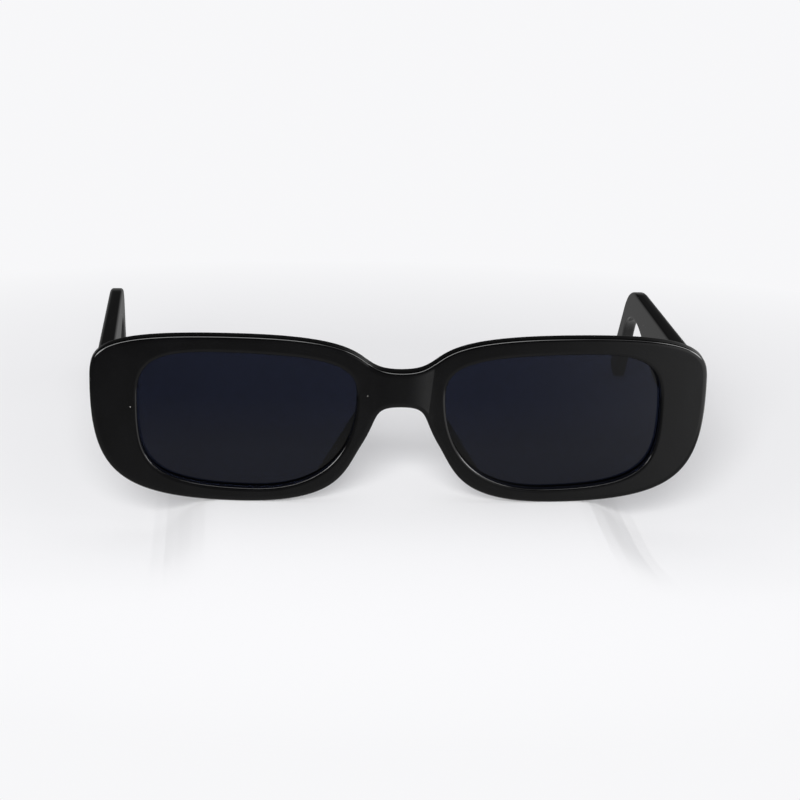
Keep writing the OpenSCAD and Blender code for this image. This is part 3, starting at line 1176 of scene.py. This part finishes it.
def smooth_remesh(piece, voxel, rounds):
    """Replaces a piece's mesh by an even, softened one."""
    remesh = piece.modifiers.new("even", "REMESH")
    remesh.mode = "VOXEL"
    remesh.voxel_size = voxel
    remesh.use_smooth_shade = True
    soften = piece.modifiers.new("soften", "SMOOTH")
    soften.factor = 0.5
    soften.iterations = rounds
    finish_modifiers(piece)


def finish_modifiers(piece):
    """Turns a piece with modifiers into a plain mesh."""
    graph = bpy.context.evaluated_depsgraph_get()
    result = bpy.data.meshes.new_from_object(piece.evaluated_get(graph))
    piece.modifiers.clear()
    piece.data = result


def copied(node, name):
    """A loose copy of a node of the packed model, joined into one closed surface."""
    piece = node.copy()
    piece.data = node.data.copy()
    piece.parent = None
    piece.name = name
    for key in list(piece.keys()):
        del piece[key]
    bpy.context.scene.collection.objects.link(piece)
    merge_points(piece.data, SAME_PLACE * MM)
    return piece


def circle(radius, count=48):
    """A clockwise circle round the origin."""
    turns = [-2 * math.pi * i / count for i in range(count)]
    return [Vector((radius * math.cos(turn), radius * math.sin(turn))) for turn in turns]


def panel_outline(low, high, rounding):
    """A clockwise rectangle between two corners, with rounded ones."""
    steps = 6
    points = []
    for quarter in range(4):
        x = high.x - rounding if quarter < 2 else low.x + rounding
        y = high.y - rounding if quarter in (0, 3) else low.y + rounding
        for step in range(steps + 1):
            turn = math.pi / 2 * (1 - quarter - step / steps)
            points.append(Vector((x + rounding * math.cos(turn), y + rounding * math.sin(turn))))
    return even(points, step=0.3)


def knuckle_outline():
    """A hinge knuckle from above: its round barrel, drawn out to a rounded toe in its leaf."""
    hinge = sizes("hinge")
    far = hinge.axis_out + hinge.leaf / 2 - hinge.toe
    first = math.acos((hinge.barrel - hinge.toe) / far)
    barrel_steps = 40
    toe_steps = 20
    points = []
    for step in range(barrel_steps + 1):
        turn = first + 2 * (math.pi - first) * step / barrel_steps
        points.append(hinge.barrel * Vector((math.cos(turn), math.sin(turn))))
    for step in range(1, toe_steps):
        turn = first * (2 * step / toe_steps - 1)
        points.append(Vector((far, 0)) + hinge.toe * Vector((math.cos(turn), math.sin(turn))))
    return even(points[::-1], step=0.12)


def knuckle(name):
    """One knuckle, standing on the origin."""
    hinge = sizes("hinge")
    tall = hinge.height / hinge.knuckles - hinge.knuckle_gap
    plate = flat_plate(tall, lambda u, v, depth: (u, v, depth))
    edges = {"near_round": hinge.edge, "far_round": hinge.edge, "support": hinge.edge / 2}
    plate.loop(knuckle_outline(), plate.rounded(**edges))
    plate.loop(circle(hinge.screw + hinge.bore_gap), plate.rounded(inwards=-1, **edges), inwards=-1)
    plate.fill(spacing=0.3)
    return plate.piece(name)


def leaf(name, low, high):
    """A hinge leaf with its face at y = 0, a hair proud of the acetate."""
    hinge = sizes("hinge")
    plate = flat_plate(hinge.leaf, lambda u, v, depth: (u, hinge.proud - depth, v))
    edges = plate.rounded(hinge.edge, hinge.edge, support=hinge.edge / 2)
    plate.loop(panel_outline(low, high, 5 * hinge.edge), edges)
    plate.fill(spacing=0.8)
    return plate.piece(name)


class GLASSES_OT_hinges(bpy.types.Operator):
    """Make the hinge leaves, with their rows of knuckles."""

    bl_idname = "glasses.hinges"
    bl_label = "Hinges"

    def execute(self, context):
        hinge = sizes("hinge")
        metal = steel("hinge_metal")
        row = row_tree()
        axis = hinge_axis()
        half_height = hinge.height / 2
        foot = Matrix.Translation(axis - Vector((0, 0, half_height)))
        pitch = hinge.height / hinge.knuckles
        count_front = (hinge.knuckles + 1) // 2
        counts = {"front": count_front, "temple": hinge.knuckles - count_front}
        for name, side in SIDES.items():
            for part, first in (("front", 0), ("temple", 1)):
                turn, leaf_place, low, high = leaf_plan(part)
                values = {"Count": counts[part], "Start": first * pitch + hinge.knuckle_gap / 2,
                          "Pitch": 2 * pitch}
                knuckles = run_tree(knuckle("knuckles"), row, metal, values)
                stand_up(knuckles, side, foot @ Matrix.Rotation(turn, 4, "Z"))
                plate = stand_up(leaf("leaf", low, high), side, leaf_place)
                piece = join(part + "_leaf_" + name, (plate, knuckles))
                body = "front_body" if part == "front" else name + "_arm"
                dress(piece, body, "hinge_steel", metal, part + "_hinge_leaf_" + name)
        return {"FINISHED"}


def leaf_plan(part):
    """The turn of a leaf's knuckles, then the leaf's place and its lower and upper corners."""
    hinge = sizes("hinge")
    front = sizes("front")
    lens = sizes("lens")
    axis = hinge_axis()
    quarter = math.pi / 2
    if part == "front":
        turn = math.asin(axis.x / (front.radius - front.thickness))
        at = Vector((axis.x, back_depth(axis.x), axis.z))
        groove_edge = half_front() - front.rim_side + lens.groove + lens.clearance
        inward = axis.x - groove_edge - hinge.leaf_wall
        upper = Vector((hinge.barrel, hinge.front_leaf_height / 2))
        lower = Vector((-inward, -upper.y))
        return turn - quarter, Matrix.Translation(at) @ Matrix.Rotation(turn, 4, "Z"), lower, upper
    half_web = hinge.web / 2
    place = Matrix.Translation((temple_in(), axis.y, axis.z)) @ Matrix.Rotation(quarter, 4, "Z")
    upper = Vector((hinge.leaf_length - half_web, hinge.height / 2))
    return 0.0, place, Vector((-half_web, -upper.y)), upper


class GLASSES_OT_screws(bpy.types.Operator):
    """Make the slotted hinge screws."""

    bl_idname = "glasses.screws"
    bl_label = "Hinge screws"

    def execute(self, context):
        metal = steel("screw_metal", grain=(1.0, 1.0, 1.0), rough=0.2)
        for name in SIDES:
            piece = copied(frame["nodes"]["hinge_screw_" + name], "screw_" + name)
            edge = piece.modifiers.new("edge", "BEVEL")
            edge.width = sizes("hinge").edge * MM
            edge.segments = 3
            edge.limit_method = "ANGLE"
            edge.angle_limit = math.radians(50)
            finish_modifiers(piece)
            shade_smooth(piece.data)
            dress(piece, "front_body", "screw_steel", metal, "hinge_screw_" + name)
        return {"FINISHED"}


class GLASSES_OT_cores(bpy.types.Operator):
    """Make the flat steel core wires inside the temples."""

    bl_idname = "glasses.cores"
    bl_label = "Core wires"

    def execute(self, context):
        temple = sizes("temple")
        metal = steel("core_metal", grain=(12.0, 1.0, 12.0), rough=0.35)
        ribbon = ribbon_tree()
        section = {"Width": temple.core_width, "Thickness": temple.core_thickness,
                   "Rounding": temple.core_round}
        x = temple_out() - temple.tip_thickness / 2 - temple.butt_gap
        start = butt_depth()
        line = [(x, start + point.x, point.y) for point in core_line()]
        edges = [(i, i + 1) for i in range(len(line) - 1)]
        for name, side in SIDES.items():
            mesh = bpy.data.meshes.new("core")
            mesh.from_pydata(line, edges, [])
            piece = bpy.data.objects.new("core_strip_" + name, mesh)
            context.scene.collection.objects.link(piece)
            run_tree(piece, ribbon, metal, section)
            dress(stand_up(piece, side), name + "_arm", "core_steel", metal, "core_wire_" + name)
        return {"FINISHED"}


# Stage


class GLASSES_OT_stage(bpy.types.Operator):
    """Make the floor, backdrop, lights and camera."""

    bl_idname = "glasses.stage"
    bl_label = "Stage"

    def execute(self, context):
        make_camera(context.scene)
        make_floor()
        make_world(context.scene)
        make_lights()
        context.scene.view_settings.view_transform = "Standard"
        return {"FINISHED"}


def camera_axes():
    """The picture's right, up and towards-the-camera directions in the worn frame."""
    stage = sizes("stage")
    flat = math.cos(stage.pitch)
    back = Vector((math.sin(stage.yaw) * flat, -math.cos(stage.yaw) * flat, math.sin(stage.pitch)))
    right = Vector((math.cos(stage.yaw), math.sin(stage.yaw), 0))
    up = back.cross(right)
    cosine = math.cos(stage.roll)
    sine = math.sin(stage.roll)
    return right * cosine - up * sine, right * sine + up * cosine, back


# Shift of the picture, in picture widths
PICTURE_SHIFT = (-0.0019, -0.0065)


def make_camera(scene):
    """The camera at the photograph's viewing angle."""
    stage = sizes("stage")
    right, up, back = camera_axes()
    place = Vector((0, 0, stage.aim_height)) + back * stage.distance
    turn = Matrix((right, up, back)).transposed().to_4x4()
    world = stand_matrix() @ Matrix.Translation(place) @ turn
    world.translation *= MM
    data = bpy.data.cameras.new("camera")
    data.sensor_width = 36.0
    data.lens = data.sensor_width * stage.distance / stage.picture
    data.shift_x, data.shift_y = PICTURE_SHIFT
    data.clip_start = 0.01
    camera = bpy.data.objects.new("camera", data)
    camera.matrix_world = world
    scene.collection.objects.link(camera)
    scene.camera = camera


def smooth(value, low, high):
    """A smooth step from 0 at low to 1 at high."""
    share = min(max((value - low) / (high - low), 0.0), 1.0)
    return share * share * (3 - 2 * share)


# Where the floor's dip begins and is deep, outwards, and from the front to its middle
# and on towards the back
DIP_SIDE = (42, 58)
DIP_FRONT = (-160, -80)
DIP_BACK = (-45, 30)


def floor_height(x, y):
    """Height of the floor. It dips where the tips of the folded temples reach below the rims."""
    along = smooth(y, *DIP_FRONT) * (1 - smooth(y, *DIP_BACK))
    return -sizes("stage").dip * smooth(abs(x), *DIP_SIDE) * along


def make_floor():
    """A pale floor that keeps the object's shadow and fades into the backdrop."""
    reach = 3000
    step = 3
    xs = [-reach] + list(range(-99, 100, step)) + [reach]
    ys = [-reach] + list(range(-180, 100, step)) + [reach]
    vertices = [(x * MM, y * MM, floor_height(x, y) * MM) for y in ys for x in xs]
    wide = len(xs)
    faces = []
    for row in range(len(ys) - 1):
        for column in range(wide - 1):
            first = row * wide + column
            faces.append((first, first + 1, first + wide + 1, first + wide))
    mesh = bpy.data.meshes.new("floor")
    mesh.from_pydata(vertices, [], faces)
    floor = bpy.data.objects.new("floor", mesh)
    bpy.context.scene.collection.objects.link(floor)
    mesh.materials.append(floor_material())
    floor.visible_glossy = False


def floor_material():
    """Pale matt paper, which turns into the plain backdrop away from the object.

    It is shaded as if it were flat, so that the floor's dip doesn't show, and
    lifted a little, so that its shadows stay light.
    """
    lifted = 0.2
    shadow_reach = 0.11
    plain_from = 0.24
    material = bpy.data.materials.new("pale_floor")
    material.use_nodes = True
    material.node_tree.nodes.clear()
    s = Shader(material.node_tree)
    length = s.add("ShaderNodeVectorMath", {0: s.place()}, operation="LENGTH").outputs["Value"]
    share = s.spread(length, shadow_reach, plain_from, lifted, 1.0)
    flat = s.add("ShaderNodeCombineXYZ", {"Z": 1.0}).outputs["Vector"]
    paper = s.add("ShaderNodeBsdfDiffuse", {"Color": (0.86, 0.86, 0.87, 1.0), "Normal": flat})
    plain = s.add("ShaderNodeEmission", {"Color": backdrop_colour(), "Strength": 1.0})
    both = s.add("ShaderNodeMixShader", {0: s.times(seen_directly(s), share),
                                         1: paper.outputs["BSDF"], 2: plain.outputs["Emission"]})
    s.add("ShaderNodeOutputMaterial", {"Surface": both.outputs["Shader"]})
    return material


def backdrop_colour():
    """The pale backdrop, a touch cool."""
    pale = sizes("stage").pale
    return (pale, pale, pale * 1.015, 1.0)


def seen_directly(s):
    """1 for rays that show the backdrop to the camera or through a lens."""
    path = s.add("ShaderNodeLightPath").outputs
    return s.maths("MAXIMUM", path["Is Camera Ray"], path["Is Transmission Ray"])


# Softboxes that only reflections see: direction, and cosines of their soft edge
SOFTBOXES = (
    ((-0.85, -0.20, 0.47), 0.972, 0.982),
    ((0.86, -0.19, 0.46), 0.972, 0.982),
)
FILL = (0.42, 0.42, 0.43, 1.0)


def studio(s):
    """What reflections see in each direction: x to the right, y back and z up.

    A dim room, darker overhead and high behind, lighter near the ground, with a broad
    window on the right, an overhead strip and a small softbox on either side.
    """
    window_level = 0.85
    ground_slope = 1.95
    ground_level = 0.15
    strip_level = 7.0
    softbox_level = 5.0
    toward = s.add("ShaderNodeTexCoord").outputs["Generated"]
    x, y, z = s.add("ShaderNodeSeparateXYZ", {"Vector": toward}).outputs

    def band(value, middle, half, soft):
        off = s.maths("ABSOLUTE", s.maths("SUBTRACT", value, middle))
        return s.spread(off, half, half + soft, 1.0, 0.0)

    overhead = s.spread(z, 0.3, 0.6, 1.0, 0.4)
    behind = s.times(s.spread(y, 0.15, 0.35), s.spread(z, 0.0, 0.15))
    dimmed = s.times(overhead, s.spread(behind, 0.0, 1.0, 1.0, 0.15))
    room = s.times(s.spread(x, -0.35, 0.05, 0.10, 0.15), dimmed)
    ramp = s.spread(x, 0.12, 0.62)
    window = s.times(s.times(ramp, ramp), band(z, 0.12, 0.42, 0.12))
    room = s.plus(room, s.times(window, window_level))
    low = s.maths("MAXIMUM", s.maths("SUBTRACT", -0.29, z), 0.0)
    room = s.plus(room, s.maths("MINIMUM", s.times(low, ground_slope), ground_level))
    strip = s.times(band(y, -0.05, 0.11, 0.03), s.spread(z, 0.2, 0.35))
    faded = s.maths("MAXIMUM", s.spread(x, 0.1, 0.25, 1.0, 0.2), s.spread(x, 0.4, 0.5))
    room = s.plus(room, s.times(s.times(strip, faded), strip_level))
    for direction, edge, full in SOFTBOXES:
        facing = s.add("ShaderNodeVectorMath", {0: toward, 1: direction}, operation="DOT_PRODUCT")
        box = s.spread(facing.outputs["Value"], edge, full)
        room = s.plus(room, s.times(box, softbox_level))
    return s.add("ShaderNodeCombineColor", {"Red": room, "Green": room, "Blue": room}).outputs["Color"]


def make_world(scene):
    """A pale backdrop for what is seen, an even fill for matt surfaces, a studio for glossy ones."""
    world = bpy.data.worlds.new("studio")
    scene.world = world
    world.use_nodes = True
    world.node_tree.nodes.clear()
    s = Shader(world.node_tree)
    glossy = s.add("ShaderNodeLightPath").outputs["Is Glossy Ray"]
    shown = s.mix(glossy, FILL, studio(s))
    shown = s.mix(seen_directly(s), shown, backdrop_colour())
    light = s.add("ShaderNodeBackground", {"Color": shown, "Strength": 1.0})
    s.add("ShaderNodeOutputWorld", {"Surface": light.outputs["Background"]})


def area_light(name, place, width, power):
    """A soft square lamp, aimed at the object and kept out of reflections. Places are in metres."""
    target = (0.0, -0.03, 0.02)
    data = bpy.data.lights.new(name, "AREA")
    data.size = width
    data.energy = power
    lamp = bpy.data.objects.new(name, data)
    lamp.location = place
    direction = Vector(target) - Vector(place)
    lamp.rotation_mode = "QUATERNION"
    lamp.rotation_quaternion = direction.to_track_quat("-Z", "Y")
    lamp.visible_glossy = False
    bpy.context.scene.collection.objects.link(lamp)


def make_lights():
    """Two broad soft lamps, above in front and above behind."""
    area_light("front_lamp", (-0.20, -1.65, 0.60), width=0.7, power=51.0)
    area_light("back_lamp", (0.1, 0.35, 0.95), width=0.9, power=0.6)


# Add-on


OPERATORS = (
    GLASSES_OT_front,
    GLASSES_OT_lenses,
    GLASSES_OT_pads,
    GLASSES_OT_temples,
    GLASSES_OT_hinges,
    GLASSES_OT_screws,
    GLASSES_OT_cores,
    GLASSES_OT_stage,
)


class GLASSES_PT_panel(bpy.types.Panel):
    """Lists the pieces of the sunglasses."""

    bl_idname = "GLASSES_PT_panel"
    bl_label = "Sunglasses"
    bl_space_type = "VIEW_3D"
    bl_region_type = "UI"
    bl_category = "Sunglasses"

    def draw(self, context):
        for group, kind in GROUPS.items():
            box = self.layout.box()
            box.label(text=kind.__doc__)
            for name in kind.__annotations__:
                box.prop(getattr(context.scene, group), name)
        for operator in OPERATORS:
            self.layout.operator(operator.bl_idname)


def register():
    """Registers the settings, the operators and the panel."""
    for name, kind in GROUPS.items():
        bpy.utils.register_class(kind)
        setattr(bpy.types.Scene, name, PointerProperty(type=kind))
    for operator in OPERATORS:
        bpy.utils.register_class(operator)
    bpy.utils.register_class(GLASSES_PT_panel)


def unregister():
    """Undoes what register does."""
    bpy.utils.unregister_class(GLASSES_PT_panel)
    for operator in reversed(OPERATORS):
        bpy.utils.unregister_class(operator)
    for name, kind in GROUPS.items():
        delattr(bpy.types.Scene, name)
        bpy.utils.unregister_class(kind)


def main():
    """Makes every piece in order."""
    register()
    for operator in OPERATORS:
        group, name = operator.bl_idname.split(".")
        getattr(getattr(bpy.ops, group), name)()


if __name__ == "__main__":
    main()
